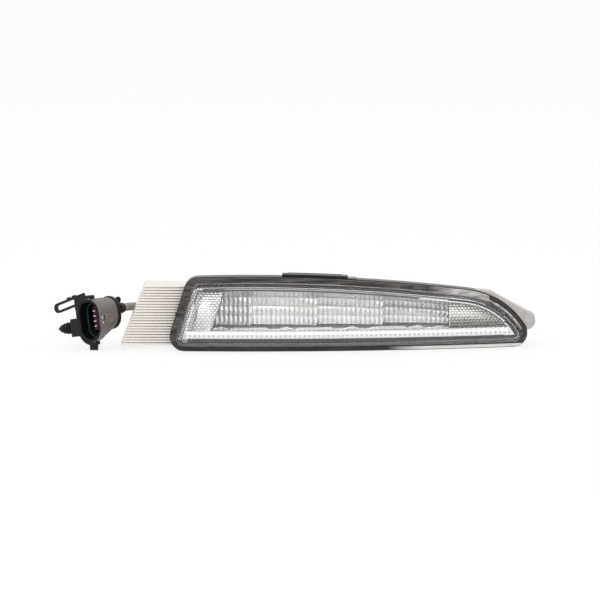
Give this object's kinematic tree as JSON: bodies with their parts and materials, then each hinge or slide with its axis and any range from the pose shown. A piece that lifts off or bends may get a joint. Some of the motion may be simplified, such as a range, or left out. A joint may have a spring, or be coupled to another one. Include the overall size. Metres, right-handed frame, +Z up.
{
  "type": "daytime running light",
  "caption": "Slim car lamp with a clear swept lens, fluted reflector, finned cooling profile at one end and a short lead with a sealed connector.",
  "frame": {"origin": "middle of the lamp's footprint, on the surface that the rim and the rear feet stand on, without the lead and its connector", "axes": "+X along the lamp towards the mounting ear, +Z up, the lens looks along -Y"},
  "size_m": [0.3232, 0.0925, 0.0522],
  "materials": {
    "black_moulding": "satin moulded black",
    "clear_lens": "clear polished polycarbonate",
    "sealant": "matt bead",
    "metallised": "aluminium vapour coat under lacquer",
    "white_board": "white solder mask",
    "led_package": "phosphor under clear silicone",
    "plain_aluminium": "mill finish",
    "zinc_steel": "zinc plated",
    "fin_aluminium": "etched pale aluminium",
    "black_rubber": "matt",
    "black_clip": "matt moulded black",
    "pale_moulding": "natural translucent moulding",
    "green_board": "green solder mask",
    "ferrite": "matt",
    "capacitor_can": "satin can",
    "wire_red": "wire insulation",
    "lead_sleeve": "woven tape sleeve",
    "grey_moulding": "fine moulded grain",
    "purple_moulding": "moulded",
    "tinned_pin": "tinned",
    "teal_rubber": "silicone"
  },
  "bodies": {
    "root": {"housing": "black_moulding", "lens": "clear_lens", "lens_seal": "sealant", "reflector": "metallised", "led_board": "white_board", "led_1": "led_package", "led_2": "led_package", "led_3": "led_package", "led_4": "led_package", "heat_spreader": "plain_aluminium", "board_screws": "zinc_steel", "heat_sink": "fin_aluminium", "sink_gasket": "black_rubber", "sink_screws": "zinc_steel", "retaining_clip": "black_clip", "side_bracket": "pale_moulding", "rear_cover": "black_moulding", "cover_seal": "black_rubber", "cover_screws": "zinc_steel", "driver_board": "green_board", "driver_coil": "ferrite", "driver_capacitor": "capacitor_can", "driver_chip": "ferrite", "inner_wires": "wire_red", "vent_cap": "black_rubber", "cable_grommet": "black_rubber", "lead": "lead_sleeve", "connector_shell": "grey_moulding", "terminal_carrier": "purple_moulding", "terminal_pins": "tinned_pin", "connector_seal": "teal_rubber", "connector_cap": "black_clip", "lead_collar": "black_rubber", "clip_bracket": "black_clip", "fir_tree_clip": "black_clip"}
  },
  "joints": []
}
